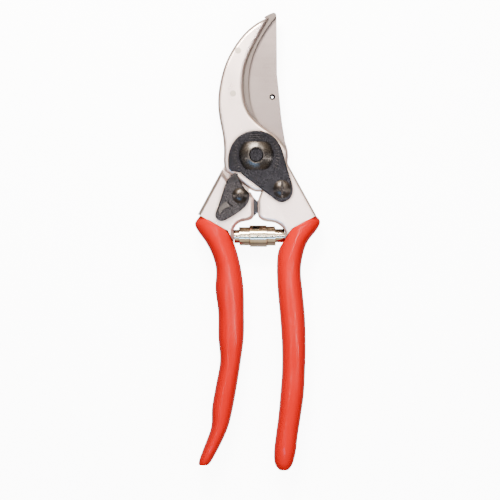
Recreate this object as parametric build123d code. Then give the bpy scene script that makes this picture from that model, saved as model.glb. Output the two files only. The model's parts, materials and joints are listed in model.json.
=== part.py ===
from build123d import *
from math import atan, cos, degrees, radians, sin
import os

# Hand pruning shears: two cast forgings crossing on one bolt, a hooked anvil blade,
# a convex cutting blade, vinyl grips, a volute return spring and a thumb catch.
# Millimetres. The tool lies on its back: Z is the pivot axis, +Y runs to the blade
# tips, +X is to the right. The origin is on the pivot axis, in the plane of rest.

os.makedirs("parts", exist_ok=True)

# ---------------------------------------------------------------- overall sizes
OVERALL_LENGTH = 214.0     # grip end to hooked tip; every plan outline follows it
GRIP_THICK = 18.0          # sheath, front to back, at its thickest
PLAN = OVERALL_LENGTH / 214.0

# ---------------------------------------------------------------- layers, back to front
NUT_THICK = 3.0
THRUST_THICK = 0.6
REAR_HUB_THICK = 4.4
BLADE_THICK = 3.0
SLIDE_GAP = 0.1            # between the faces that wipe past each other
LEDGE_GAP = 0.3            # between the rubber buffer and the ledge behind it
FRONT_HUB_THICK = 5.8
ANVIL_THICK = 2.8
PLATE_THICK = 1.8
DOME_RISE = 1.7
CATCH_THICK = 2.2
CATCH_WASHER_THICK = 0.6

Z_WASHER = NUT_THICK
Z_REAR = Z_WASHER + THRUST_THICK
Z_BLADE = Z_REAR + REAR_HUB_THICK
Z_SLIDE = Z_BLADE + BLADE_THICK
Z_FRONT = Z_SLIDE + SLIDE_GAP
Z_PLATE = Z_FRONT + FRONT_HUB_THICK
Z_PLATE_TOP = Z_PLATE + PLATE_THICK
Z_DOME_TOP = Z_PLATE_TOP + DOME_RISE
Z_SHOULDER_BACK = Z_REAR - 1.0
Z_SHOULDER_FRONT = Z_PLATE - 0.4
Z_CATCH = Z_SHOULDER_FRONT + CATCH_WASHER_THICK
Z_CATCH_TOP = Z_CATCH + CATCH_THICK
Z_GRIP = GRIP_THICK / 2

# ---------------------------------------------------------------- pivot
BOLT_D = 8.0
BOLT_FLAT = 6.8            # across the two flats that carry the blade round
RUN_FIT = 0.03             # radial, bolt in bushing
BUSHING_WALL = 1.5
BUSHING_D = BOLT_D + 2 * RUN_FIT + 2 * BUSHING_WALL
BOLT_HEAD_D = BUSHING_D
BOLT_HEAD_THICK = 1.5
BOLT_END_D = 6.4
COVER_CLEAR = 0.12         # cover plate round and over the bolt head
NUT_D = 14.4
NUT_TEETH = 24
HUB_R = 15.0 * PLAN
BLADE_HUB_R = 14.6 * PLAN
LOWER_CLEAR_R = 15.8 * PLAN
RAISED_CLEAR_R = 17.4 * PLAN

# ---------------------------------------------------------------- fasteners
RIVET_D = 2.9
BLADE_RIVET_D = 4.0
SCREW_D = 4.0
PLATE_SCREW_HEAD_D = 8.4
CATCH_SCREW_HEAD_D = 7.3
SCREW_HEAD_RISE = 1.05
SCREW_SLOT = 1.1
SCREW_SLOT_DEPTH = 0.9
CATCH_SHOULDER_D = 5.0
CATCH_FIT = 0.04           # radial, catch on its shoulder screw

# ---------------------------------------------------------------- spring
SPRING_BORE_R = 2.2
SPRING_MID_R = 4.65
STRIP_THICK = 0.55
STRIP_WIDTH = 3.4
SPRING_TURNS = 3
PEG_R = 1.45
PEG_LENGTH = 3.0
SHEATH_WALL = 2.6
SHEATH_FACE = 3.0
EDGE_BEVEL = 1.5           # flat bevel round the left shoulder's front face
EDGE_ROUND = 1.6           # every other outer edge of the forgings


def at(x, y):
    return (x * PLAN, y * PLAN)


def region(*runs):
    # closed face from straight ("line") and smooth ("curve") runs, each carrying on
    # from the end of the one before
    edges = []
    first = at(*runs[0][1][0])
    last = first
    for kind, points in runs:
        path = [at(*p) for p in points]
        if path[0] != last:
            path = [last] + path
        last = path[-1]
        if kind == "curve" and len(path) > 2:
            edges.append(Spline(*path))
        else:
            for a, b in zip(path, path[1:]):
                edges.append(Line(a, b))
    if last != first:
        edges.append(Line(last, first))
    return make_face(Wire(edges))


def slab(face, low, high):
    return Pos(0, 0, low) * extrude(face, amount=high - low)


def rounded_front(shape, radius):
    return fillet(shape.edges().group_by(Axis.Z)[-1], radius)


def rounded_back(shape, radius):
    return fillet(shape.edges().group_by(Axis.Z)[0], radius)


def bevelled_front(shape, size):
    return chamfer(shape.edges().group_by(Axis.Z)[-1], size)


def rod(x, y, diameter, low, high):
    return Pos(x, y, (low + high) / 2) * Cylinder(diameter / 2, high - low)


def ring(x, y, outer, inner, low, high):
    return rod(x, y, outer, low, high) - rod(x, y, inner, low - 1, high + 1)


def one(shape, label):
    solids = shape.solids()
    biggest = max(solids, key=lambda s: s.volume)
    biggest.label = label
    return biggest


def save(shape, name):
    shape.label = name
    export_step(shape, "parts/" + name + ".step")


def double_flat(diameter, flat, low, high):
    width = 2 * diameter
    body = rod(0, 0, diameter, low, high)
    return body & Pos(0, 0, (low + high) / 2) * Box(flat, width, high - low + 1)


# ================================================================ grips and tangs
# (y, left x, right x, thickness as a share of GRIP_THICK) down each grip; the left
# one has finger hollows on its outer side, the right one is a plain bow.
LEFT_GRIP = (
    (-24.5, -24.8, -10.0, 0.97),
    (-28.4, -26.8, -10.0, 0.99),
    (-31.7, -28.8, -10.0, 1.00),
    (-35.2, -27.4, -10.2, 1.00),
    (-40.0, -23.9, -10.4, 1.00),
    (-46.0, -20.8, -8.7, 1.00),
    (-53.0, -18.9, -7.1, 0.98),
    (-62.5, -19.2, -5.9, 0.98),
    (-73.0, -17.9, -5.7, 0.96),
    (-85.0, -17.8, -5.8, 0.96),
    (-96.0, -17.0, -7.2, 0.94),
    (-107.0, -18.9, -8.9, 0.94),
    (-118.0, -20.8, -10.9, 0.92),
    (-127.0, -21.2, -13.1, 0.88),
    (-135.0, -24.0, -16.6, 0.82),
    (-141.0, -26.3, -19.8, 0.72),
    (-144.8, -27.4, -22.0, 0.56),
)
RIGHT_GRIP = (
    (-24.5, 11.2, 26.2, 0.97),
    (-27.8, 11.3, 28.1, 0.99),
    (-30.8, 11.4, 30.0, 1.00),
    (-34.6, 11.9, 28.4, 1.00),
    (-40.0, 11.7, 24.2, 1.00),
    (-46.0, 10.0, 22.0, 1.00),
    (-54.0, 9.6, 20.9, 0.98),
    (-64.0, 10.1, 21.8, 0.98),
    (-76.0, 11.2, 22.9, 0.96),
    (-89.0, 12.0, 23.2, 0.96),
    (-101.0, 12.0, 22.9, 0.94),
    (-112.0, 11.2, 22.3, 0.94),
    (-122.0, 10.3, 20.9, 0.92),
    (-131.0, 9.1, 19.5, 0.88),
    (-138.5, 8.3, 18.6, 0.82),
    (-144.0, 8.6, 17.2, 0.68),
    (-147.2, 10.4, 15.4, 0.46),
)


def oval(y, left, right, share, side, face, roundness):
    width = (right - left) * PLAN - 2 * side
    thick = GRIP_THICK * share - 2 * face
    corner = roundness * min(width, thick) / 2
    centre = ((left + right) / 2 * PLAN, y * PLAN, Z_GRIP)
    plane = Plane(origin=centre, x_dir=(1, 0, 0), z_dir=(0, -1, 0))
    return plane * RectangleRounded(width, thick, corner)


def sheath(stations):
    return loft([oval(*s, 0, 0, 0.86) for s in stations])


def tang(stations):
    return loft([oval(*s, SHEATH_WALL, SHEATH_FACE, 0.5) for s in stations[2:13]])


LEFT_RIM = ((-34, -23.8), (-26.1, -28.1), (-13.2, -35.1), (-9.9, -41.3), (-5.5, -49.0))
RIGHT_RIM = ((36, -23.8), (27.8, -28.1), (16.3, -34.1), (12.0, -40.8), (7.6, -48.0))


def below_rim(rim, side):
    # everything on the grip side of the rim line of one sheath
    outer = 60 * side
    inner = -3 * side
    points = [(outer, rim[0][1])] + list(rim)
    points += [(inner, rim[-1][1]), (inner, -160), (outer, -160)]
    face = region(("line", points))
    return slab(face, -10, 40)


# ================================================================ blade-side forging
SCREW_CATCH = at(-7.5, -18.9)
SCREW_PLATE = at(12.0, -15.8)
SCREW_SEGMENT = at(-8.4, -13.0)
SEAT_LEFT = -10.5 * PLAN
SEAT_RIGHT = 13.4 * PLAN
SEAT_Y = -37.6 * PLAN

pocket_left = [(-10.6, -36.0), (-9.7, -32.9), (-7.4, -31.1), (-4.2, -30.4), (-1.9, -29.4)]
pocket_left += [(-1.2, -27.6)]
left_shoulder = region(
    ("line", [(-15.6, -5.8), (-28.2, -29.2)]),
    ("line", [(-28.2, -29.2), (-27.0, -36.0), (-20.0, -44.0), (-10.6, -44.0), (-10.6, -36.0)]),
    ("curve", pocket_left),
    ("line", [(-1.2, -27.6), (-1.2, -19.6), (-3.0, -16.4), (-12.0, -4.0)]),
)
rear_hub = region(
    ("line", [(-13.9, -2.6), (-17.8, -9.8), (-20.0, -22.0), (-3.0, -22.0), (-3.4, -15.8)]),
    ("line", [(-3.4, -15.8), (-1.0, -13.0)]),
)

raised = slab(left_shoulder, Z_SHOULDER_BACK, Z_SHOULDER_FRONT)
raised = raised - rod(0, 0, 2 * RAISED_CLEAR_R, -5, 60)
raised = rounded_back(bevelled_front(one(raised, "raised"), EDGE_BEVEL), EDGE_ROUND)
left_tang = tang(LEFT_GRIP)
left_above = raised - below_rim(LEFT_RIM, -1)
hub_back = slab(rear_hub, Z_REAR, Z_BLADE) + rod(0, 0, 2 * HUB_R, Z_REAR, Z_BLADE)
boss_left = Pos(SEAT_LEFT - 4, SEAT_Y, Z_GRIP) * Rot(0, 90, 0) * Cylinder(3.6, 8)
peg_left = Pos(SEAT_LEFT + PEG_LENGTH / 2, SEAT_Y, Z_GRIP) * Rot(0, 90, 0) * Cylinder(PEG_R, PEG_LENGTH)
blade_handle = left_above + hub_back + left_tang + boss_left + peg_left

BLADE_RIVETS = [(10.6 * PLAN * cos(radians(a)), 10.6 * PLAN * sin(radians(a))) for a in (22, 158)]
blade_handle = blade_handle - double_flat(BOLT_D, BOLT_FLAT, Z_REAR - 1, Z_BLADE + 1)
for x, y in BLADE_RIVETS:
    blade_handle = blade_handle - rod(x, y, BLADE_RIVET_D, Z_REAR - 1, Z_BLADE + 1)
blade_handle = blade_handle - rod(*SCREW_CATCH, SCREW_D, Z_SHOULDER_FRONT - 8, 40)
blade_handle = blade_handle - rod(*SCREW_SEGMENT, SCREW_D - 1, -5, Z_REAR + 3)
# the stem of the rubber buffer sits in a blind hole in the inner wall
BUFFER_Y = -24.0 * PLAN
BUFFER_Z = Z_GRIP + 1.0
BUFFER_HALF = 4.0
stem = Pos(-1.2 * PLAN - 2.5, BUFFER_Y, BUFFER_Z) * Rot(0, 90, 0) * Cylinder(1.5, 5.0)
blade_handle = one(blade_handle - stem, "blade_handle")

buffer_face = region(
    ("line", [(-1.2, -19.5), (0.1, -20.9), (0.5, -21.6), (0.5, -26.4), (0.1, -27.1), (-1.2, -28.6)]),
)
rubber_buffer = slab(buffer_face, BUFFER_Z - BUFFER_HALF, BUFFER_Z + BUFFER_HALF)
rubber_buffer = one(rubber_buffer - blade_handle + stem, "rubber_buffer")

# ================================================================ anvil-side forging
jaw_outer = [(5.6, 64.2), (-0.2, 61.3), (-5.1, 57.2), (-10.9, 49.6), (-14.5, 42.4), (-16.7, 34.6)]
jaw_outer += [(-17.8, 26.5), (-17.3, 18.0), (-15.6, 9.0), (-15.1, 1.0), (-15.1, -4.2)]
jaw_outer += [(-14.2, -7.2), (-12.2, -8.6)]
wall_right = [(2.2, -16.9), (0.75, -20.9), (0.75, -26.9)]
pocket_right = [(0.75, -26.9), (1.7, -29.3), (4.2, -30.6), (7.9, -31.1), (11.3, -32.7)]
pocket_right += [(13.5, -36.0)]
blade_cover = [(14.6, 1.8), (11.9, 5.9), (8.7, 9.2), (4.8, 12.1), (-0.9, 16.7)]
jaw_inner = [(-0.9, 16.7), (-3.6, 20.2), (-5.4, 25.2), (-6.2, 31.0), (-6.1, 37.4), (-4.7, 44.0)]
jaw_inner += [(-1.9, 50.6), (1.6, 57.2), (5.6, 64.2)]
front_outline = region(
    ("curve", jaw_outer),
    ("line", [(-12.2, -8.6), (-3.6, -15.2)]),
    ("curve", [(-3.6, -15.2), (-1.4, -16.5), (2.2, -16.9)]),
    ("line", wall_right),
    ("curve", pocket_right),
    ("line", [(13.5, -36.0), (13.5, -44.0), (21.0, -44.0), (28.0, -36.0), (29.4, -30.6)]),
    ("line", [(29.4, -30.6), (14.8, -4.2)]),
    ("curve", [(14.8, -4.2), (14.3, -1.2), (14.6, 1.8)]),
    ("curve", blade_cover),
    ("curve", jaw_inner),
)
right_shoulder = region(
    ("line", [(2.2, -12.0)] + wall_right),
    ("curve", pocket_right),
    ("line", [(13.5, -36.0), (13.5, -44.0), (21.0, -44.0), (28.0, -36.0), (29.4, -30.6)]),
    ("line", [(29.4, -30.6), (13.2, -1.3)]),
)
front = slab(front_outline, Z_FRONT, Z_PLATE)
front = rounded_front(front, EDGE_ROUND)
# a low ledge reaches under the rubber buffer
ledge_face = region(("line", [(0.1, -21.2), (2.6, -19.2), (2.6, -28.6), (0.1, -26.6)]))
lower = slab(right_shoulder, Z_SHOULDER_BACK, Z_FRONT)
lower = rounded_back(lower - rod(0, 0, 2 * LOWER_CLEAR_R, -5, 60), EDGE_ROUND)
right_tang = tang(RIGHT_GRIP)
boss_right = Pos(SEAT_RIGHT + 4, SEAT_Y, Z_GRIP) * Rot(0, 90, 0) * Cylinder(3.6, 8)
peg_right = Pos(SEAT_RIGHT - PEG_LENGTH / 2, SEAT_Y, Z_GRIP) * Rot(0, 90, 0) * Cylinder(PEG_R, PEG_LENGTH)
lower = lower + slab(ledge_face, Z_SHOULDER_BACK + 1, BUFFER_Z - BUFFER_HALF - LEDGE_GAP)
right_above = (front + lower) - below_rim(RIGHT_RIM, 1)
anvil_handle = right_above + right_tang + boss_right + peg_right

# ---------------------------------------------------------------- anvil blade
anvil_face = region(
    ("curve", [(9.4, 65.2), (4.9, 59.4), (1.7, 54.2), (-1.1, 48.2), (-3.1, 41.0), (-3.8, 34.0)]),
    ("curve", [(-3.8, 34.0), (-3.2, 26.0), (-0.9, 18.4), (2.4, 13.4)]),
    ("line", [(2.4, 13.4), (-1.5, 12.6)]),
    ("curve", [(-1.5, 12.6), (-8.8, 17.6), (-13.4, 25.6), (-13.6, 36.0), (-10.6, 45.6), (-5.6, 53.4)]),
    ("curve", [(-5.6, 53.4), (0.2, 59.6), (5.2, 63.2)]),
    ("line", [(5.2, 63.2), (3.7, 64.6)]),
    ("curve", [(3.7, 64.6), (5.9, 65.9), (8.0, 66.7)]),
    ("curve", [(8.0, 66.7), (9.1, 66.2), (9.4, 65.2)]),
)
ANVIL_RIVETS = [at(-8.5, 48.7), at(-10.9, 28.7)]
anvil_blade = slab(anvil_face, Z_FRONT, Z_FRONT + ANVIL_THICK)
anvil_handle = anvil_handle - anvil_blade
for x, y in ANVIL_RIVETS:
    anvil_blade = anvil_blade - rod(x, y, RIVET_D, Z_FRONT - 1, Z_PLATE + 1)
    anvil_handle = anvil_handle - rod(x, y, RIVET_D, Z_FRONT - 1, Z_PLATE + 1)
anvil_blade = one(anvil_blade, "anvil_blade")
anvil_rivets = Compound(
    [rod(x, y, RIVET_D, Z_FRONT, Z_PLATE).solid() for x, y in ANVIL_RIVETS]
)
anvil_handle = anvil_handle - rod(0, 0, BUSHING_D, Z_FRONT - 1, Z_PLATE + 1)
anvil_handle = anvil_handle - rod(*SCREW_PLATE, SCREW_D, Z_PLATE - 5, 40)
anvil_handle = one(anvil_handle, "anvil_handle")

pivot_bushing = one(ring(0, 0, BUSHING_D, BOLT_D + 2 * RUN_FIT, Z_FRONT, Z_PLATE), "pivot_bushing")

# ================================================================ cutting blade
cutting_edge = [(-13.4, 5.8), (-9.9, 16.5), (-7.7, 26.0), (-7.2, 36.0), (-5.4, 45.4)]
cutting_edge += [(-1.4, 54.8), (3.6, 61.2), (9.5, 65.4)]
blade_face = region(
    ("line", [(9.5, 65.4), (9.7, 38.0)]),
    ("curve", [(9.7, 38.0), (10.6, 29.7), (12.0, 16.0), (13.4, 7.3), (14.1, 3.4)]),
    ("line", [(14.1, 3.4), (0.0, -6.0), (-13.4, 5.8)]),
    ("curve", cutting_edge),
)
BLADE_HOLE = at(7.5, 27.5)
HOLE_MOUTH_R = 1.35        # countersunk from the front down to a small through hole
HOLE_BORE_R = 0.5
HOLE_SINK_DEPTH = 1.9
EDGE_LAND = 0.3
BEVEL_RUN = 3.2
# the ground bevel falls away from the cutting edge on the back face only
edge_line = Spline(*[(*at(x, y), Z_SLIDE - EDGE_LAND) for x, y in cutting_edge])
bevel_plane = Plane(origin=edge_line @ 0, x_dir=(0, 0, 1), z_dir=edge_line % 0)
bevel_run = BEVEL_RUN * (BLADE_THICK + 1) / BLADE_THICK
bevel_section = make_face(
    Polyline(
        (0.001, 0.0),
        (-BLADE_THICK - 1, bevel_run),
        (-BLADE_THICK - 1, -2.0),
        (0.001, -2.0),
        close=True,
    )
)
if bevel_plane.y_dir.X < 0:
    bevel_section = mirror(bevel_section, Plane.XZ)
bevel_cut = sweep(bevel_plane * bevel_section, path=edge_line)
blade_plate = slab(blade_face, Z_BLADE, Z_SLIDE)
hub_disc = rod(0, 0, 2 * BLADE_HUB_R, Z_BLADE, Z_SLIDE)
blade_body = (blade_plate - bevel_cut) + hub_disc
blade_body = blade_body - double_flat(BOLT_D, BOLT_FLAT, Z_BLADE - 1, Z_SLIDE + 1)
for x, y in BLADE_RIVETS:
    blade_body = blade_body - rod(x, y, BLADE_RIVET_D, Z_BLADE - 1, Z_SLIDE + 1)
blade_body = blade_body - rod(*BLADE_HOLE, 2 * HOLE_BORE_R, Z_BLADE - 1, Z_SLIDE + 1)
sink = Cone(HOLE_BORE_R, HOLE_MOUTH_R, HOLE_SINK_DEPTH)
blade_body = blade_body - Pos(*BLADE_HOLE, Z_SLIDE - HOLE_SINK_DEPTH / 2) * sink
cutting_blade = one(blade_body, "cutting_blade")
blade_rivets = Compound(
    [rod(x, y, BLADE_RIVET_D, Z_REAR, Z_SLIDE).solid() for x, y in BLADE_RIVETS]
)

# ================================================================ bolt, washer, nut
bolt = double_flat(BOLT_D, BOLT_FLAT, Z_REAR, Z_SLIDE)
bolt = bolt + rod(0, 0, BOLT_D, Z_SLIDE, Z_PLATE + 0.1)
bolt = bolt + rod(0, 0, BOLT_FLAT, 0, Z_REAR)
bolt = bolt + rod(0, 0, BOLT_HEAD_D, Z_PLATE + 0.02, Z_PLATE + 0.02 + BOLT_HEAD_THICK)
bolt = bolt + rod(0, 0, BOLT_END_D, Z_PLATE + 0.5, Z_DOME_TOP - 0.25)
end_edges = bolt.edges().filter_by(GeomType.CIRCLE).group_by(Axis.Z)[-1]
pivot_bolt = one(chamfer(end_edges, 0.35), "pivot_bolt")

thrust_washer = one(ring(0, 0, NUT_D + 1, BOLT_FLAT, Z_WASHER, Z_REAR), "thrust_washer")


def toothed(diameter, teeth, low, high):
    body = rod(0, 0, diameter, low, high)
    for i in range(teeth):
        a = 360 * i / teeth
        notch = Rot(0, 0, a) * Pos(diameter / 2 + 0.15, 0, (low + high) / 2)
        body = body - notch * Rot(0, 0, 45) * Box(0.9, 0.9, high - low + 1)
    return body


nut_body = toothed(NUT_D, NUT_TEETH, 0, NUT_THICK)
slot_cut = Box(NUT_D + 2, 1.6, 1.6)
slot_cut = slot_cut - rod(0, 0, BOLT_D + 3.4, -1, 2)
pivot_nut = one(nut_body - slot_cut - rod(0, 0, BOLT_FLAT, -1, NUT_THICK + 1), "pivot_nut")

# toothed lock segment that keeps the nut from turning
segment_face = region(
    ("line", [(-3.2, -8.6), (-1.6, -4.0), (-5.0, -2.4), (-9.0, -4.4)]),
    ("curve", [(-9.0, -4.4), (-11.6, -9.8), (-11.4, -14.2), (-8.4, -16.2), (-5.6, -14.6)]),
    ("line", [(-5.6, -14.6), (-3.2, -8.6)]),
)
SEGMENT_LOW = Z_REAR - 2.2
segment = slab(segment_face, SEGMENT_LOW, Z_REAR)
segment = segment - rod(0, 0, NUT_D - 0.5, -1, 9) - rod(0, 0, NUT_D + 1.2, Z_WASHER - 0.05, 9)
segment = segment - toothed(NUT_D, NUT_TEETH, -1, NUT_THICK + 1)
blade_back_relief = slab(left_shoulder, Z_SHOULDER_BACK - 0.1, Z_REAR + 5)
blade_back_relief = blade_back_relief - rod(0, 0, 2 * RAISED_CLEAR_R - 0.4, -5, 60)
segment = segment - blade_back_relief
segment = segment - rod(*SCREW_SEGMENT, SCREW_D - 1, -1, 9)
lock_segment = one(segment, "lock_segment")
segment_screw = rod(*SCREW_SEGMENT, SCREW_D - 1, SEGMENT_LOW - 0.5, Z_REAR + 3)
segment_screw = segment_screw + rod(*SCREW_SEGMENT, 5.0, 0.2, SEGMENT_LOW)
segment_screw = one(
    segment_screw - Pos(*SCREW_SEGMENT, 0.2) * Box(7, 0.9, 1.0), "segment_screw"
)

# ================================================================ cover plate
plate_edge = [(-12.9, -6.2), (-13.1, -2.0), (-11.4, 4.7), (-6.6, 9.8), (-0.1, 11.4), (6.0, 9.9)]
plate_edge += [(11.0, 4.6), (13.0, -1.3), (14.6, -6.8), (16.4, -13.0), (16.9, -17.0)]
plate_edge += [(15.3, -20.4), (12.2, -21.8), (9.4, -21.1)]
plate_face = region(
    ("curve", plate_edge),
    ("line", [(9.4, -21.1), (-6.0, -9.4)]),
    ("curve", [(-6.0, -9.4), (-7.4, -8.2), (-9.2, -7.8)]),
    ("line", [(-9.2, -7.8), (-11.9, -7.4), (-12.9, -6.2)]),
)
plate = slab(plate_face, Z_PLATE, Z_PLATE_TOP)
plate = rounded_front(plate, 0.4)
DOME_R = 8.4
DOME_FLATS = 12.8          # across the straight top and bottom of the dome
DOME_TOP_R = 3.9           # the flat land round the bolt end
sphere_r = (DOME_R ** 2 - DOME_TOP_R ** 2) / (2 * DOME_RISE)
dome_ball = Pos(0, 0, Z_DOME_TOP - (sphere_r ** 2 - DOME_TOP_R ** 2) ** 0.5) * Sphere(sphere_r)
dome = rod(0, 0, 2 * DOME_R, Z_PLATE_TOP - 0.01, Z_DOME_TOP) & dome_ball
plate = plate + (dome & Pos(0, -0.2, Z_PLATE_TOP) * Box(2 * DOME_R + 2, DOME_FLATS, 6))
head_room = BOLT_HEAD_D + 2 * COVER_CLEAR
plate = plate - rod(0, 0, head_room, Z_PLATE - 1, Z_PLATE + BOLT_HEAD_THICK + COVER_CLEAR)
plate = plate - rod(0, 0, BOLT_END_D + 2 * COVER_CLEAR, Z_PLATE - 1, 40)
# raised grip marks on both sides of the dome, and three shallow ribs above it
for start, stop, count in ((-32, 34, 9), (146, 214, 9)):
    for i in range(count):
        a = start + (stop - start) * i / (count - 1)
        bar = Rot(0, 0, a) * Pos(10.2 * PLAN, 0, Z_PLATE_TOP) * Box(1.8, 0.6, 0.6)
        plate = plate + bar
for i in range(3):
    plate = plate + Pos(-0.2, (7.6 + 0.95 * i) * PLAN, Z_PLATE_TOP) * Box(7.6 - 1.1 * i, 0.4, 0.5)
plate = plate - rod(*SCREW_PLATE, SCREW_D, -5, 40)
catch_plate = one(plate, "catch_plate")


def slotted_screw(x, y, seat, width, rise, slot_angle):
    # low domed head on a plain shank, with a driving slot
    dome_r = ((width / 2) ** 2 + rise ** 2) / (2 * rise)
    cap = Pos(x, y, seat + rise - dome_r) * Sphere(dome_r)
    head = rod(x, y, width, seat, seat + rise + 1) & cap
    slot_box = Box(width + 2, SCREW_SLOT, 2 * SCREW_SLOT_DEPTH)
    return head - Pos(x, y, seat + rise) * Rot(0, 0, slot_angle) * slot_box


plate_screw = slotted_screw(*SCREW_PLATE, Z_PLATE_TOP, PLATE_SCREW_HEAD_D, SCREW_HEAD_RISE, 90)
plate_screw = plate_screw + rod(*SCREW_PLATE, SCREW_D, Z_PLATE - 5, Z_PLATE_TOP)
catch_plate_screw = one(plate_screw, "catch_plate_screw")

# ================================================================ thumb catch
catch_face = region(
    ("curve", [(-8.7, -8.5), (-8.1, -10.9), (-6.4, -14.2), (-4.3, -16.7)]),
    ("curve", [(-4.3, -16.7), (-3.1, -19.3), (-4.4, -22.9), (-7.4, -25.9), (-11.0, -28.4)]),
    ("curve", [(-11.0, -28.4), (-14.2, -30.1), (-16.8, -30.6), (-18.7, -29.1), (-18.7, -26.6)]),
    ("curve", [(-18.7, -26.6), (-17.4, -22.9), (-15.5, -17.0), (-13.4, -11.6), (-10.4, -8.5)]),
    ("line", [(-10.4, -8.5), (-8.7, -8.5)]),
)
TIP_LIFT = Z_PLATE_TOP + 0.12
PAD_RISE = 1.7
PAD_FACING = 127         # the way the ramp falls, from +X
PAD_SLOPE = 17
catch = rounded_front(slab(catch_face, Z_CATCH, Z_CATCH_TOP + 0.5), 0.4)
tip_zone = rod(0, 0, 2 * 15.4 * PLAN, Z_CATCH - 1, TIP_LIFT)
catch = catch - tip_zone
# thumb rest: a ramp that climbs to a curved step, with a relief slot beside it
pad_face = region(
    ("curve", [(-16.9, -28.0), (-15.5, -25.6), (-13.8, -24.5), (-12.0, -24.1)]),
    ("line", [(-12.0, -24.1), (-13.9, -21.7)]),
    ("curve", [(-13.9, -21.7), (-16.0, -23.0), (-17.6, -25.8)]),
    ("line", [(-17.6, -25.8), (-16.9, -28.0)]),
)
pad = slab(pad_face, Z_CATCH_TOP, Z_CATCH_TOP + PAD_RISE + 1)
ramp = Rot(0, 0, PAD_FACING) * Rot(0, PAD_SLOPE, 0) * Pos(0, 0, 10) * Box(60, 60, 20)
pad = pad - Pos(-14.6 * PLAN, -25.0 * PLAN, Z_CATCH_TOP + PAD_RISE) * ramp
relief = Pos(-12.0 * PLAN, -23.0 * PLAN, Z_CATCH_TOP + 0.5) * Rot(0, 0, -35) * Box(3.4, 0.6, 1.6)
catch = catch + pad - relief
catch = catch - rod(*SCREW_CATCH, CATCH_SHOULDER_D + 2 * CATCH_FIT, -5, 40)
thumb_catch = one(catch, "thumb_catch")

Z_CATCH_SEAT = Z_CATCH_TOP + 0.5 + 0.05
catch_screw = slotted_screw(*SCREW_CATCH, Z_CATCH_SEAT, CATCH_SCREW_HEAD_D, SCREW_HEAD_RISE, 0)
catch_screw = catch_screw + rod(*SCREW_CATCH, CATCH_SHOULDER_D, Z_CATCH, Z_CATCH_SEAT)
catch_screw = catch_screw + rod(*SCREW_CATCH, SCREW_D, Z_SHOULDER_FRONT - 8, Z_CATCH + 0.5)
catch_screw = one(catch_screw, "catch_screw")
catch_washer = one(
    ring(*SCREW_CATCH, CATCH_SCREW_HEAD_D, SCREW_D, Z_SHOULDER_FRONT, Z_CATCH - 0.05), "catch_washer"
)

# ================================================================ grips
anvil_grip = sheath(RIGHT_GRIP) & below_rim(RIGHT_RIM, 1)
anvil_grip = one(anvil_grip - right_tang - anvil_handle, "anvil_grip")
blade_grip = sheath(LEFT_GRIP) & below_rim(LEFT_RIM, -1)
blade_grip = one(blade_grip - left_tang - blade_handle, "blade_grip")

# ================================================================ volute spring
SPRING_LENGTH = SEAT_RIGHT - SEAT_LEFT - 0.2
SPRING_MID = (SEAT_RIGHT + SEAT_LEFT) / 2
cone_length = SPRING_LENGTH / 2 - STRIP_WIDTH / 2 - 0.4
cone_angle = degrees(atan((SPRING_MID_R - SPRING_BORE_R) / cone_length))
coil = Helix(cone_length / SPRING_TURNS, cone_length, SPRING_BORE_R, cone_angle=cone_angle)
strip = Plane(origin=coil @ 0, x_dir=(1, 0, 0), z_dir=coil % 0) * Rectangle(STRIP_THICK, STRIP_WIDTH)
half = sweep(strip, path=coil, is_frenet=True)
half = half & Pos(0, 0, 50 - STRIP_WIDTH / 2) * Cylinder(20, 100)
spring_left = Pos(SEAT_LEFT + 0.1, SEAT_Y, Z_GRIP) * Rot(0, 90, 0) * Pos(0, 0, STRIP_WIDTH / 2) * half
spring_right = mirror(spring_left, Plane(origin=(SPRING_MID, 0, 0), z_dir=(1, 0, 0)))
middle_turn = Cylinder(SPRING_MID_R + 0.3, 3.0) - Cylinder(SPRING_MID_R - 0.28, 4.0)
middle_turn = Pos(SPRING_MID, SEAT_Y, Z_GRIP) * Rot(0, 90, 0) * middle_turn
volute_spring = one(spring_left + spring_right + middle_turn, "volute_spring")

for name, shape in (
    ("anvil_handle", anvil_handle),
    ("anvil_grip", anvil_grip),
    ("anvil_blade", anvil_blade),
    ("anvil_rivets", anvil_rivets),
    ("pivot_bushing", pivot_bushing),
    ("catch_plate", catch_plate),
    ("catch_plate_screw", catch_plate_screw),
    ("volute_spring", volute_spring),
    ("blade_handle", blade_handle),
    ("blade_grip", blade_grip),
    ("cutting_blade", cutting_blade),
    ("blade_rivets", blade_rivets),
    ("pivot_bolt", pivot_bolt),
    ("pivot_nut", pivot_nut),
    ("thrust_washer", thrust_washer),
    ("lock_segment", lock_segment),
    ("segment_screw", segment_screw),
    ("rubber_buffer", rubber_buffer),
    ("catch_screw", catch_screw),
    ("catch_washer", catch_washer),
    ("thumb_catch", thumb_catch),
):
    save(shape, name)
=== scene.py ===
import json
import math

import bmesh
import bpy
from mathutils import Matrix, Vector


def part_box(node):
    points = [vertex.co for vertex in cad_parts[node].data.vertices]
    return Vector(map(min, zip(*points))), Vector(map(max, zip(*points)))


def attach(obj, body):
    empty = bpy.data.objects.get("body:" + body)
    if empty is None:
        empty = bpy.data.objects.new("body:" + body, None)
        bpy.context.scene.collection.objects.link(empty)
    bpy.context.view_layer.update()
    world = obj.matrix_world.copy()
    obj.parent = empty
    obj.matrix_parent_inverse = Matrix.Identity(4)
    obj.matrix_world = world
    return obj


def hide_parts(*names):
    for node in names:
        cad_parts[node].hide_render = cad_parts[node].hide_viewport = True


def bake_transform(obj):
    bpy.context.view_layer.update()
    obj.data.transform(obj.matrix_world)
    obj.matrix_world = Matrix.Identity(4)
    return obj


# Pruning shears lying on their back, catch side up. Metres, in the CAD frame: +Y runs
# from the grips to the jaws, +Z is up, and the origin is on the pivot axis.

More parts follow.
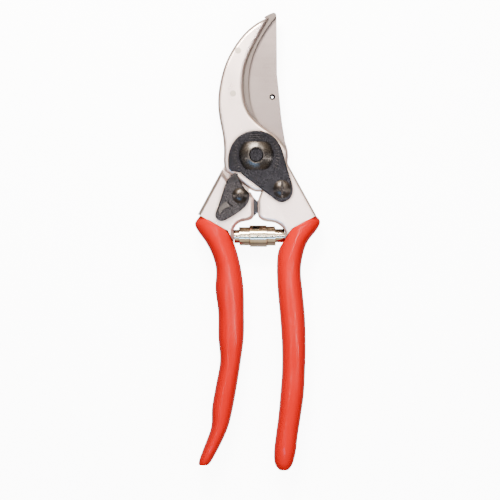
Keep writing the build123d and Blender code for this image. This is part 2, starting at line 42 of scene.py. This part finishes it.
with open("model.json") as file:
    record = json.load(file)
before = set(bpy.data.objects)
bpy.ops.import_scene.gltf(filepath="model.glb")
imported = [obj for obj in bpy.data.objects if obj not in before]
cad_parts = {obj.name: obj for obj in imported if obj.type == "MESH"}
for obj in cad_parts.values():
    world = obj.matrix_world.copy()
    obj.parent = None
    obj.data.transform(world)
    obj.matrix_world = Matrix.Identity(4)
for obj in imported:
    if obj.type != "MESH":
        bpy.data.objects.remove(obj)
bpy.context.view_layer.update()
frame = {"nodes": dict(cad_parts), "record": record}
NODES = frame["nodes"]
MM = 0.001


# ================================================================ node helpers
class Shader:
    """A small builder for one procedural material."""

    AO_SAMPLES = 8

    def __init__(self, name):
        self.mat = bpy.data.materials.new(name)
        self.mat.use_nodes = True
        self.tree = self.mat.node_tree
        self.tree.nodes.clear()
        self.out = self.add("ShaderNodeOutputMaterial")
        self.bsdf = self.add("ShaderNodeBsdfPrincipled")
        self.link(self.bsdf.outputs["BSDF"], self.out.inputs["Surface"])
        self.coord = self.add("ShaderNodeTexCoord").outputs["Object"]

    def add(self, kind, **values):
        node = self.tree.nodes.new(kind)
        for key, value in values.items():
            setattr(node, key, value)
        return node

    def link(self, a, b):
        self.tree.links.new(a, b)

    def mapped(self, scale, turn=0.0):
        node = self.add("ShaderNodeMapping")
        node.inputs["Scale"].default_value = scale
        node.inputs["Rotation"].default_value = (0, 0, math.radians(turn))
        self.link(self.coord, node.inputs["Vector"])
        return node.outputs["Vector"]

    def part(self, axis):
        split = self.add("ShaderNodeSeparateXYZ")
        self.link(self.coord, split.inputs[0])
        return split.outputs[axis]

    def noise(self, scale, detail=4.0, rough=0.55, vector=None, distort=0.0):
        node = self.add("ShaderNodeTexNoise")
        node.inputs["Scale"].default_value = scale
        node.inputs["Detail"].default_value = detail
        node.inputs["Roughness"].default_value = rough
        node.inputs["Distortion"].default_value = distort
        self.link(vector or self.coord, node.inputs["Vector"])
        return node.outputs["Fac"]

    def ramp(self, value, low, high, a=0.0, b=1.0):
        node = self.add("ShaderNodeMapRange")
        node.inputs["From Min"].default_value = low
        node.inputs["From Max"].default_value = high
        node.inputs["To Min"].default_value = a
        node.inputs["To Max"].default_value = b
        self.link(value, node.inputs["Value"])
        return node.outputs["Result"]

    def mix(self, factor, a, b):
        node = self.add("ShaderNodeMix", data_type="RGBA")
        self.link(factor, node.inputs["Factor"])
        for value, socket in ((a, node.inputs["A"]), (b, node.inputs["B"])):
            if isinstance(value, tuple):
                socket.default_value = (*value, 1.0)
            else:
                self.link(value, socket)
        return node.outputs["Result"]

    def math(self, op, a, b):
        node = self.add("ShaderNodeMath", operation=op)
        for value, socket in ((a, node.inputs[0]), (b, node.inputs[1])):
            if isinstance(value, (int, float)):
                socket.default_value = value
            else:
                self.link(value, socket)
        return node.outputs[0]

    def bump(self, height, strength, distance, below=None):
        node = self.add("ShaderNodeBump")
        node.inputs["Strength"].default_value = strength
        node.inputs["Distance"].default_value = distance
        self.link(height, node.inputs["Height"])
        if below is not None:
            self.link(below, node.inputs["Normal"])
        return node.outputs["Normal"]

    def corner_shade(self, reach, open_from=0.45, open_to=0.9):
        # painted shade: 0 in tight corners and between parts, where shade falls, 1 on open faces
        node = self.add("ShaderNodeAmbientOcclusion", samples=self.AO_SAMPLES)
        node.inputs["Distance"].default_value = reach
        return self.ramp(node.outputs["AO"], open_from, open_to)

    def set(self, name, value):
        socket = self.bsdf.inputs[name]
        if isinstance(value, (int, float)):
            socket.default_value = value
        elif isinstance(value, tuple):
            socket.default_value = (*value, 1.0)
        else:
            self.link(value, socket)


# ================================================================ materials
def cast_aluminium():
    s = Shader("cast_aluminium")
    cloud = s.noise(38, 3, 0.5)
    fine = s.noise(900, 5, 0.6)
    tumble = s.noise(2600, 3, 0.6)
    rub = s.noise(160, 4, 0.65, s.mapped((1.0, 0.35, 1.0), 28))
    tone = s.mix(s.ramp(cloud, 0.3, 0.7), (0.72, 0.565, 0.52), (0.78, 0.63, 0.585))
    tone = s.mix(s.ramp(fine, 0.35, 0.75, 0.0, 0.35), tone, (0.62, 0.50, 0.46))
    # painted shade: the tone turns dark brown in corners and between parts
    s.set("Base Color", s.mix(s.corner_shade(2.2 * MM), (0.22, 0.165, 0.135), tone))
    s.set("Metallic", 0.9)
    rough = s.math("ADD", s.ramp(rub, 0.3, 0.7, 0.27, 0.38), s.ramp(fine, 0.3, 0.7, -0.03, 0.04))
    s.set("Roughness", rough)
    normal = s.bump(tumble, 0.2, 0.04 * MM)
    s.set("Normal", s.bump(cloud, 0.12, 0.4 * MM, normal))
    return s.mat


def vinyl():
    s = Shader("vinyl_red")
    cloud = s.noise(26, 3, 0.5)
    peel = s.noise(420, 3, 0.5)
    scuff = s.noise(210, 6, 0.7, s.mapped((1.0, 0.25, 1.0), 8))
    tone = s.mix(s.ramp(cloud, 0.3, 0.7), (0.41, 0.001, 0.0006), (0.47, 0.002, 0.001))
    tone = s.mix(s.ramp(scuff, 0.62, 0.8, 0.0, 0.25), tone, (0.49, 0.010, 0.005))
    s.set("Base Color", tone)
    rough = s.math("ADD", s.ramp(scuff, 0.35, 0.75, 0.13, 0.21), s.ramp(peel, 0.3, 0.7, -0.02, 0.03))
    s.set("Roughness", rough)
    s.set("Specular IOR Level", 0.09)
    normal = s.bump(peel, 0.06, 0.06 * MM)
    s.set("Normal", s.bump(cloud, 0.08, 0.6 * MM, normal))
    return s.mat


MOUNTS = {row["name"]: row for row in frame["record"]["mounts"]}
HOLE = MOUNTS["blade_hole"]["pos_m"]
HOLE_MOUTH = 1.45 * MM


def blade_steel():
    s = Shader("blade_steel")
    grind = s.noise(700, 6, 0.65, s.mapped((0.06, 1.0, 1.0), 8))
    cloud = s.noise(55, 4, 0.55)
    stain = s.noise(120, 5, 0.7)
    tone = s.mix(s.ramp(cloud, 0.3, 0.7), (0.165, 0.128, 0.119), (0.195, 0.154, 0.143))
    tone = s.mix(s.ramp(stain, 0.6, 0.8, 0.0, 0.3), tone, (0.17, 0.142, 0.12))
    tone = s.mix(s.ramp(grind, 0.3, 0.7, 0.0, 0.25), tone, (0.235, 0.19, 0.186))
    # painted shade: the tone turns near black in corners and between parts
    tone = s.mix(s.corner_shade(1.5 * MM), (0.05, 0.038, 0.03), tone)
    # painted shade: near black across the countersunk hole's mouth, standing in for the shadow under
    # the hole
    off_x = s.math("SUBTRACT", s.part("X"), HOLE[0])
    off_y = s.math("SUBTRACT", s.part("Y"), HOLE[1])
    square = s.math("ADD", s.math("MULTIPLY", off_x, off_x), s.math("MULTIPLY", off_y, off_y))
    outside_hole_shade = s.ramp(s.math("SQRT", square, 0.0), 0.85 * HOLE_MOUTH, HOLE_MOUTH)
    s.set("Base Color", s.mix(outside_hole_shade, (0.012, 0.011, 0.013), tone))
    s.set("Metallic", 0.92)
    rough = s.math("ADD", s.ramp(grind, 0.3, 0.7, 0.32, 0.46), s.ramp(cloud, 0.3, 0.7, -0.03, 0.04))
    s.set("Roughness", rough)
    s.set("Normal", s.bump(grind, 0.10, 0.05 * MM))
    return s.mat


def anvil_steel():
    s = Shader("anvil_steel")
    grind = s.noise(900, 6, 0.65, s.mapped((1.0, 0.08, 1.0), -8))
    cloud = s.noise(70, 4, 0.6)
    tone = s.mix(s.ramp(cloud, 0.3, 0.7), (0.075, 0.058, 0.053), (0.10, 0.079, 0.072))
    tone = s.mix(s.ramp(grind, 0.3, 0.7, 0.0, 0.3), tone, (0.15, 0.12, 0.11))
    # painted shade: the tone turns dark in corners and between parts
    s.set("Base Color", s.mix(s.corner_shade(1.2 * MM), (0.035, 0.026, 0.02), tone))
    s.set("Metallic", 0.92)
    s.set("Roughness", s.ramp(grind, 0.3, 0.7, 0.32, 0.5))
    s.set("Normal", s.bump(grind, 0.12, 0.05 * MM))
    return s.mat


def rivet_steel():
    s = Shader("rivet_steel")
    grind = s.noise(1500, 5, 0.6, s.mapped((1.0, 0.12, 1.0), 30))
    cloud = s.noise(240, 3, 0.5)
    tone = s.mix(s.ramp(cloud, 0.3, 0.7), (0.31, 0.255, 0.215), (0.38, 0.315, 0.27))
    s.set("Base Color", tone)
    s.set("Metallic", 0.9)
    s.set("Roughness", s.ramp(grind, 0.3, 0.7, 0.34, 0.5))
    s.set("Normal", s.bump(grind, 0.1, 0.04 * MM))
    return s.mat


PLATE_THICK = 1.8 * MM
# heights above the cover plate's face between which the marks' lighter tone and the dome's painted
# highlight come in
MARK_FROM, MARK_TO = 0.1 * MM, 0.2 * MM
DOME_FROM, DOME_TO = 0.34 * MM, 0.8 * MM


def burnished_steel(name, dark, light, face=None):
    s = Shader(name)
    cloud = s.noise(110, 5, 0.6)
    grain = s.noise(1500, 4, 0.6)
    wear = s.noise(380, 6, 0.75)
    tone = s.mix(s.ramp(cloud, 0.3, 0.7), dark, light)
    tone = s.mix(s.ramp(wear, 0.6, 0.78, 0.0, 0.4), tone, (0.022, 0.019, 0.018))
    if face is not None:
        # the tops of the low raised marks are lighter, in patches; the dome is lighter still, a
        # painted highlight
        height = s.math("SUBTRACT", s.part("Z"), face)
        patchy = s.ramp(wear, 0.35, 0.6, 0.3, 1.0)
        marks = s.math("MULTIPLY", s.ramp(height, MARK_FROM, MARK_TO), patchy)
        tone = s.mix(marks, tone, (0.030, 0.027, 0.027))
        tone = s.mix(s.ramp(height, DOME_FROM, DOME_TO), tone, (0.045, 0.039, 0.035))
    # painted shade: the tone turns near black in corners and between parts
    s.set("Base Color", s.mix(s.corner_shade(0.9 * MM), (0.006, 0.005, 0.005), tone))
    s.set("Metallic", 1.0)
    rough = s.math("ADD", s.ramp(cloud, 0.3, 0.7, 0.2, 0.3), s.ramp(grain, 0.3, 0.7, -0.03, 0.05))
    s.set("Roughness", rough)
    normal = s.bump(grain, 0.07, 0.04 * MM)
    s.set("Normal", s.bump(wear, 0.05, 0.1 * MM, normal))
    return s.mat


def plated_spring():
    s = Shader("plated_spring")
    cloud = s.noise(120, 3, 0.5)
    lines = s.noise(1100, 4, 0.6, s.mapped((1.0, 0.04, 0.04)))
    tone = s.mix(s.ramp(cloud, 0.3, 0.7), (0.42, 0.36, 0.26), (0.54, 0.48, 0.38))
    tone = s.mix(s.ramp(lines, 0.5, 0.75, 0.0, 0.15), tone, (0.34, 0.28, 0.20))
    # painted shade: the tone turns dark in corners and between turns
    s.set("Base Color", s.mix(s.corner_shade(1.2 * MM), (0.08, 0.06, 0.04), tone))
    s.set("Metallic", 1.0)
    rough = s.math("ADD", s.ramp(lines, 0.3, 0.7, 0.07, 0.13), s.ramp(cloud, 0.3, 0.7, 0.0, 0.05))
    s.set("Roughness", rough)
    s.set("Normal", s.bump(lines, 0.05, 0.02 * MM))
    return s.mat


def bronze():
    s = Shader("bronze")
    lines = s.noise(1200, 4, 0.6, s.mapped((1.0, 1.0, 4.0)))
    cloud = s.noise(200, 4, 0.6)
    s.set("Base Color", s.mix(s.ramp(cloud, 0.3, 0.7), (0.46, 0.30, 0.14), (0.60, 0.41, 0.21)))
    s.set("Metallic", 1.0)
    s.set("Roughness", s.ramp(lines, 0.3, 0.7, 0.28, 0.42))
    s.set("Normal", s.bump(lines, 0.1, 0.04 * MM))
    return s.mat


def buffer_rubber():
    s = Shader("buffer_rubber")
    cloud = s.noise(300, 4, 0.6)
    grain = s.noise(1800, 4, 0.6)
    s.set("Base Color", s.mix(s.ramp(cloud, 0.3, 0.7), (0.012, 0.011, 0.015), (0.026, 0.024, 0.028)))
    s.set("Specular IOR Level", 0.2)
    s.set("Roughness", s.ramp(grain, 0.3, 0.7, 0.55, 0.75))
    s.set("Normal", s.bump(grain, 0.25, 0.06 * MM))
    return s.mat


PLATE_TONES = ((0.0105, 0.0099, 0.0112), (0.017, 0.016, 0.0175))
# painted light: the screws' and lever's tones are lighter than the plate's, so that they show
# brighter under the same lamps
SCREW_TONES = ((0.026, 0.022, 0.020), (0.042, 0.035, 0.031))
LEVER_TONES = ((0.017, 0.0155, 0.016), (0.028, 0.025, 0.025))

MATS = {
    "cast_aluminium": cast_aluminium(),
    "vinyl": vinyl(),
    "anvil_steel": anvil_steel(),
    "blade_steel": blade_steel(),
    "rivet_steel": rivet_steel(),
    "bronze": bronze(),
    "burnished_steel": burnished_steel("burnished_steel", *PLATE_TONES),
    "plated_spring": plated_spring(),
    "buffer_rubber": buffer_rubber(),
}
SLOTS = {row["node"]: row["material_slot"] for row in frame["record"]["subparts"]}


def dress(obj, material):
    obj.data.materials.clear()
    obj.data.materials.append(material)


for node_name, node in NODES.items():
    dress(node, MATS[SLOTS[node_name]])

# painted light: the lever and screws get lighter copies of the plate's steel, and the plate's copy
# carries the dome's painted highlight
PLATE_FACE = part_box("catch_plate")[0][2] + PLATE_THICK
lightened_screw = burnished_steel("lightened_screw", *SCREW_TONES)
LIGHTENED_COPIES = {
    "catch_plate": burnished_steel("highlit_plate", *PLATE_TONES, face=PLATE_FACE),
    "thumb_catch": burnished_steel("lightened_lever", *LEVER_TONES),
    "catch_plate_screw": lightened_screw,
    "catch_screw": lightened_screw,
}
for node_name, material in LIGHTENED_COPIES.items():
    dress(NODES[node_name], material)


# ================================================================ mesh helpers
SHARP_EDGE = math.radians(35)


def mesh_object(name, build, slot_name):
    mesh = bpy.data.meshes.new(name)
    bm = bmesh.new()
    build(bm)
    bmesh.ops.recalc_face_normals(bm, faces=bm.faces)
    bm.to_mesh(mesh)
    bm.free()
    for face in mesh.polygons:
        face.use_smooth = True
    mesh.set_sharp_from_angle(angle=SHARP_EDGE)
    obj = bpy.data.objects.new(name, mesh)
    bpy.context.scene.collection.objects.link(obj)
    dress(obj, MATS[slot_name])
    return obj


def skin(bm, rings, cap_start=False, cap_end=False):
    # joins closed rings of equal length into one tube
    rows = [[bm.verts.new(p) for p in ring] for ring in rings]
    count = len(rows[0])
    for a, b in zip(rows, rows[1:]):
        for i in range(count):
            j = (i + 1) % count
            bm.faces.new((a[i], a[j], b[j], b[i]))
    if cap_start:
        bm.faces.new(list(reversed(rows[0])))
    if cap_end:
        bm.faces.new(rows[-1])


def catmull(points, x):
    # smooth value through (x, y) pairs in falling order of x
    n = len(points)
    i = 0
    while i < n - 2 and x < points[i + 1][0]:
        i += 1
    x1, y1 = points[i]
    x2, y2 = points[i + 1]
    x0, y0 = points[i - 1] if i > 0 else (2 * x1 - x2, 2 * y1 - y2)
    x3, y3 = points[i + 2] if i + 2 < n else (2 * x2 - x1, 2 * y2 - y1)
    t = (x - x1) / (x2 - x1)
    m1 = (y2 - y0) / (x2 - x0) * (x2 - x1)
    m2 = (y3 - y1) / (x3 - x1) * (x2 - x1)
    near = (2 * t ** 3 - 3 * t ** 2 + 1) * y1 + (t ** 3 - 2 * t ** 2 + t) * m1
    return near + (-2 * t ** 3 + 3 * t ** 2) * y2 + (t ** 3 - t ** 2) * m2


# ================================================================ grips
# (y, left x, right x, share of the full 18 mm thickness), in millimetres
LEFT_GRIP = (
    (-24.5, -24.8, -10.0, 0.97),
    (-28.4, -26.8, -10.0, 0.99),
    (-31.7, -28.8, -10.0, 1.00),
    (-35.2, -27.4, -10.2, 1.00),
    (-40.0, -23.9, -10.4, 1.00),
    (-46.0, -20.8, -8.7, 1.00),
    (-53.0, -18.9, -7.1, 0.98),
    (-62.5, -19.2, -5.9, 0.98),
    (-73.0, -17.9, -5.7, 0.96),
    (-85.0, -17.8, -5.8, 0.96),
    (-96.0, -17.0, -7.2, 0.94),
    (-107.0, -18.9, -8.9, 0.94),
    (-118.0, -20.8, -10.9, 0.92),
    (-127.0, -21.2, -13.1, 0.88),
    (-135.0, -24.0, -16.6, 0.82),
    (-141.0, -26.3, -19.8, 0.72),
    (-144.8, -27.4, -22.0, 0.56),
)
RIGHT_GRIP = (
    (-24.5, 11.2, 26.2, 0.97),
    (-27.8, 11.3, 28.1, 0.99),
    (-30.8, 11.4, 30.0, 1.00),
    (-34.6, 11.9, 28.4, 1.00),
    (-40.0, 11.7, 24.2, 1.00),
    (-46.0, 10.0, 22.0, 1.00),
    (-54.0, 9.6, 20.9, 0.98),
    (-64.0, 10.1, 21.8, 0.98),
    (-76.0, 11.2, 22.9, 0.96),
    (-89.0, 12.0, 23.2, 0.96),
    (-101.0, 12.0, 22.9, 0.94),
    (-112.0, 11.2, 22.3, 0.94),
    (-122.0, 10.3, 20.9, 0.92),
    (-131.0, 9.1, 19.5, 0.88),
    (-138.5, 8.3, 18.6, 0.82),
    (-144.0, 8.6, 17.2, 0.68),
    (-147.2, 10.4, 15.4, 0.46),
)
# the rim where each sheath meets its forging, as (x, y) from the outside in, millimetres
LEFT_RIM = ((-34.0, -23.8), (-26.1, -28.1), (-13.2, -35.1), (-9.9, -41.3), (-5.5, -49.0))
RIGHT_RIM = ((36.0, -23.8), (27.8, -28.1), (16.3, -34.1), (12.0, -40.8), (7.6, -48.0))
GRIP_HALF = 9.0          # half the thickness at the fullest station
GRIP_POINTS = 56         # points round a section
SECTION_POWER = 2 / 2.2  # a little squarer than an ellipse
# (drop below the rim, inset), from inside the mouth over its rolled lip, millimetres
LIP = ((0.0, 3.2), (0.0, 2.0), (0.0, 1.3), (0.0, 0.9), (0.12, 0.45), (0.4, 0.17), (0.8, 0.04))
LIP_END = 1.3            # drop at which the lip has reached the full section
SLOPE_START, SLOPE_END, SLOPE_STEPS = -38.0, -54.0, 18
STATION_STEP = 1.5
TAIL_LENGTH, TAIL_STEPS, TAIL_INSET = 4.2, 10, 0.7
CAP_SHARES = (0.7, 0.4)


def grip_mesh(name, stations, rim, body):
    lefts = [(s[0], s[1]) for s in stations]
    rights = [(s[0], s[2]) for s in stations]
    shares = [(s[0], s[3]) for s in stations]
    start, end = stations[0][0], stations[-1][0]
    rim_sorted = sorted(rim)

    def rim_y(x):
        for (x0, y0), (x1, y1) in zip(rim_sorted, rim_sorted[1:]):
            if x <= x1:
                return y0 + (y1 - y0) * (x - x0) / (x1 - x0)
        return rim_sorted[-1][1]

    def soft_rim(x):
        return sum(rim_y(x + d) for d in (-1.2, -0.6, 0.0, 0.6, 1.2)) / 5

    def point(y, angle, inset):
        y = min(max(y, end), start)
        lo, hi = catmull(lefts, y), catmull(rights, y)
        half = max((hi - lo) / 2 - inset, 0.05)
        thick = max(GRIP_HALF * catmull(shares, y) - inset, 0.05)
        c, s = math.cos(angle), math.sin(angle)
        x = (lo + hi) / 2 + half * math.copysign(abs(c) ** SECTION_POWER, c)
        z = GRIP_HALF + thick * math.copysign(abs(s) ** SECTION_POWER, s)
        return x, z

    # the rim's height at each angle, found by stepping towards where it meets the section
    angles = [2 * math.pi * i / GRIP_POINTS for i in range(GRIP_POINTS)]
    edge = []
    for angle in angles:
        y = -35.0
        for _ in range(30):
            y = 0.5 * y + 0.5 * soft_rim(point(y, angle, 0.0)[0])
        edge.append(y)

    rings = []

    def ring(levels, inset):
        row = []
        for angle, y in zip(angles, levels):
            x, z = point(y, angle, inset)
            row.append((x * MM, y * MM, z * MM))
        rings.append(row)

    for drop, inset in LIP:
        ring([y - drop for y in edge], inset)
    ring([y - LIP_END for y in edge], 0.0)
    # from the slanted rim to level sections
    for i in range(1, SLOPE_STEPS + 1):
        t = i / SLOPE_STEPS
        u = t * t * (3 - 2 * t)
        level = SLOPE_START + (SLOPE_END - SLOPE_START) * t
        ring([(y - LIP_END) * (1 - u) + level * u for y in edge], 0.0)
    y = SLOPE_END
    while y > end + TAIL_LENGTH:
        y -= STATION_STEP
        ring([y] * GRIP_POINTS, 0.0)
    last = y
    for i in range(1, TAIL_STEPS + 1):
        t = math.sin(math.pi / 2 * i / TAIL_STEPS)
        level = last + (end - last) * t
        ring([level] * GRIP_POINTS, TAIL_INSET * (1 - math.sqrt(max(0.0, 1 - t ** 4))))
    last_ring = rings[-1]
    mid = [sum(p[k] for p in last_ring) / GRIP_POINTS for k in range(3)]
    for share in CAP_SHARES:
        rings.append([tuple(mid[k] + (p[k] - mid[k]) * share for k in range(3)) for p in last_ring])

    obj = mesh_object(name, lambda bm: skin(bm, rings, cap_end=True), "vinyl")
    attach(obj, body)
    return obj


grip_left = grip_mesh("blade_grip_skin", LEFT_GRIP, LEFT_RIM, "blade_side")
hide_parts("blade_grip")
grip_right = grip_mesh("anvil_grip_skin", RIGHT_GRIP, RIGHT_RIM, "anvil_side")
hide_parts("anvil_grip")


# ================================================================ volute spring
SPRING_Y, SPRING_Z = -37.6, 9.0      # the spring's axis, along X, millimetres
STRIP_STEPS = 60
STRIP_START = math.radians(235)      # underneath, where the strip's ends don't show
STRIP_SWEEP = math.radians(372)      # just over one turn, so that the ends overlap
STRIP_EDGE = 0.09                    # bevel on the strip's edges, millimetres


def strip_turn(name, x0, x1, r0, r1, thick, lead, share):
    # one wide turn of flat strip wound about the spring's axis; lead slants its edges
    rings = []
    half = (x1 - x0) / 2
    mid = (x0 + x1) / 2
    e = STRIP_EDGE
    section = (
        (-half + e, 0.0), (half - e, 0.0), (half, -e), (half, -thick + e),
        (half - e, -thick), (-half + e, -thick), (-half, -thick + e), (-half, -e),
    )
    for i in range(STRIP_STEPS + 1):
        t = i / STRIP_STEPS
        angle = STRIP_START + STRIP_SWEEP * t
        radius = r0 + (r1 - r0) * t
        shift = lead * (t - 0.5)
        row = []
        for along, out in section:
            r = radius + out
            x = mid + along + shift
            y = SPRING_Y + r * math.cos(angle)
            z = SPRING_Z + r * math.sin(angle)
            row.append((x * MM, y * MM, z * MM))
        rings.append(row)
    obj = mesh_object(name, lambda bm: skin(bm, rings, cap_start=True, cap_end=True), "plated_spring")
    # t is where the smooth blend reaches the share, by Newton's method
    t = 0.5
    for _ in range(60):
        t -= (t * t * (3 - 2 * t) - share) / max(6 * t * (1 - t), 1e-6)
    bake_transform(obj)
    return obj


# name, x from and to, radius at its start and end, strip thickness, lead (all
# millimetres), and a share of the handle's opening
TURNS = (
    ("spring_turn_1", -10.4, -3.8, 2.8, 3.45, 0.3, 0.5, 0.98),
    ("spring_turn_2", -8.0, 1.0, 4.15, 4.45, 0.3, 0.6, 0.75),
    ("spring_turn_3", -3.1, 4.9, 5.05, 5.1, 0.3, 0.5, 0.5),
    ("spring_turn_4", 0.2, 8.9, 4.65, 4.45, 0.26, 0.6, 0.25),
    ("spring_turn_5", 5.2, 13.2, 3.7, 2.8, 0.3, 0.5, 0.02),
)
turns = [strip_turn(*row) for row in TURNS]
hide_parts("volute_spring")


# ================================================================ stage, light, camera
FLOOR_GLOW = 9.0
FLOOR_SIZE = 2.0
FLOOR_DROP = 0.2 * MM     # just under the tool, so that it never cuts into it


def floor_plane():
    s = Shader("floor_pale")
    cloud = s.noise(3, 3, 0.5)
    s.set("Base Color", s.mix(s.ramp(cloud, 0.3, 0.7), (0.90, 0.90, 0.90), (0.93, 0.93, 0.93)))
    s.set("Roughness", 0.8)
    s.set("Emission Color", (1.0, 1.0, 1.0))
    s.set("Emission Strength", FLOOR_GLOW)
    mesh = bpy.data.meshes.new("floor")
    bm = bmesh.new()
    bmesh.ops.create_grid(bm, x_segments=2, y_segments=2, size=FLOOR_SIZE)
    bm.to_mesh(mesh)
    bm.free()
    obj = bpy.data.objects.new("floor", mesh)
    obj.location = (0, 0, -FLOOR_DROP)
    bpy.context.scene.collection.objects.link(obj)
    mesh.materials.append(s.mat)
    # a white sweep that neither glows on the tool nor shows in its gloss
    obj.visible_glossy = False
    obj.visible_diffuse = False


WARM, PALE, BLUE = (1.0, 0.97, 0.90), (1.0, 0.99, 0.98), (0.25, 0.55, 1.0)
AT_JAWS, AT_GRIPS = (0, 0.04, 0.01), (0, -0.04, 0.01)
# name: place, size, watts, colour, aim
LIGHTS = {
    "key_left": ((-0.26, 0.42, 0.9), (0.2, 0.2), 4.2, (1.0, 0.96, 0.88), AT_JAWS),
    "key_right": ((0.26, 0.42, 0.9), (0.2, 0.2), 3.2, WARM, AT_JAWS),
    "strip_right": ((0.42, -0.1, 0.75), (0.018, 1.0), 4.4, PALE, AT_GRIPS),
    "strip_left": ((-0.28, -0.1, 0.85), (0.014, 1.0), 2.6, PALE, AT_GRIPS),
    "top_box": ((-0.02, 0.26, 1.25), (0.24, 0.10), 0.5, (1.0, 0.97, 0.92), (-0.01, 0.05, 0.01)),
    "jaw_light": ((-0.04, 0.17, 0.26), (0.12, 0.05), 2.2, (1.0, 0.97, 0.88), (0.0, 0.05, 0.01)),
    "window": ((-0.16, -0.42, 0.9), (0.5, 0.08), 3.6, BLUE, AT_GRIPS),
}


def area(name, place, size, watts, colour, aim):
    data = bpy.data.lights.new(name, "AREA")
    data.shape = "RECTANGLE"
    data.size, data.size_y = size
    data.energy = watts
    data.color = colour
    obj = bpy.data.objects.new(name, data)
    obj.location = place
    direction = Vector(aim) - Vector(place)
    obj.rotation_euler = direction.to_track_quat("-Z", "Y").to_euler()
    bpy.context.scene.collection.objects.link(obj)


floor_plane()
for light_name, settings in LIGHTS.items():
    area(light_name, *settings)

# colour of the studio round the tool's X axis, from straight down on the -Y side,
# over the zenith (0.5), to straight down on the +Y side: warm wall at the blade end,
# blue window light low at the grip end
STUDIO = (
    (0.0, (0.36, 0.31, 0.30)),
    (0.19, (0.30, 0.26, 0.25)),
    (0.27, (0.12, 0.10, 0.09)),
    (0.34, (0.55, 0.46, 0.36)),
    (0.42, (0.50, 0.44, 0.36)),
    (0.455, (0.12, 0.15, 0.20)),
    (0.500, (0.17, 0.18, 0.22)),
    (0.525, (0.45, 0.41, 0.36)),
    (0.60, (1.15, 1.0, 0.80)),
    (0.67, (0.62, 0.47, 0.32)),
    (0.74, (0.10, 0.08, 0.06)),
    (0.82, (0.30, 0.26, 0.25)),
    (1.0, (0.36, 0.31, 0.30)),
)
WORLD_STRENGTH = 2.7

world = bpy.data.worlds.new("studio")
world.use_nodes = True
bpy.context.scene.world = world
tree = world.node_tree


def world_node(kind, *values, **settings):
    node = tree.nodes.new(kind)
    for key, value in settings.items():
        setattr(node, key, value)
    for socket, value in zip(node.inputs, values):
        if isinstance(value, (int, float)):
            socket.default_value = value
        elif value is not None:
            tree.links.new(value, socket)
    return node.outputs


look = world_node("ShaderNodeSeparateXYZ", world_node("ShaderNodeTexCoord")["Generated"])
turn = world_node("ShaderNodeMath", look["Y"], look["Z"], operation="ARCTAN2")[0]
place = world_node("ShaderNodeMapRange", turn, -math.pi, math.pi, 0.0, 1.0)[0]
band = world_node("ShaderNodeValToRGB", place)["Color"]
stops = tree.nodes[-1].color_ramp.elements
stops[0].color = (*STUDIO[0][1], 1)
stops[1].color = (*STUDIO[-1][1], 1)
for position, colour in STUDIO[1:-1]:
    stops.new(position).color = (*colour, 1)
# the room falls off towards both sides
sideways = world_node("ShaderNodeMath", look["X"], look["X"], operation="MULTIPLY")[0]
shade = world_node("ShaderNodeMapRange", sideways, 0.0, 0.75, 1.0, 0.15)[0]
tree.links.new(band, tree.nodes["Background"].inputs["Color"])
glow = world_node("ShaderNodeMath", shade, WORLD_STRENGTH, operation="MULTIPLY")[0]
tree.links.new(glow, tree.nodes["Background"].inputs["Strength"])

VIEW_WIDTH = 233.7 * MM               # what the picture spans at the tool
VIEW_X, VIEW_Y = -2.94 * MM, -44.12 * MM
CAMERA_DISTANCE = 1.1
TOOL_MIDDLE = 12 * MM
SENSOR = 36.0

camera_data = bpy.data.cameras.new("camera")
camera = bpy.data.objects.new("camera", camera_data)
bpy.context.scene.collection.objects.link(camera)
camera.location = (VIEW_X, VIEW_Y, TOOL_MIDDLE + CAMERA_DISTANCE)
camera.rotation_euler = (0, 0, 0)
camera_data.sensor_fit = "HORIZONTAL"
camera_data.sensor_width = SENSOR
camera_data.lens = SENSOR * CAMERA_DISTANCE / VIEW_WIDTH
camera_data.clip_start = 0.01
camera_data.clip_end = 10
bpy.context.scene.camera = camera
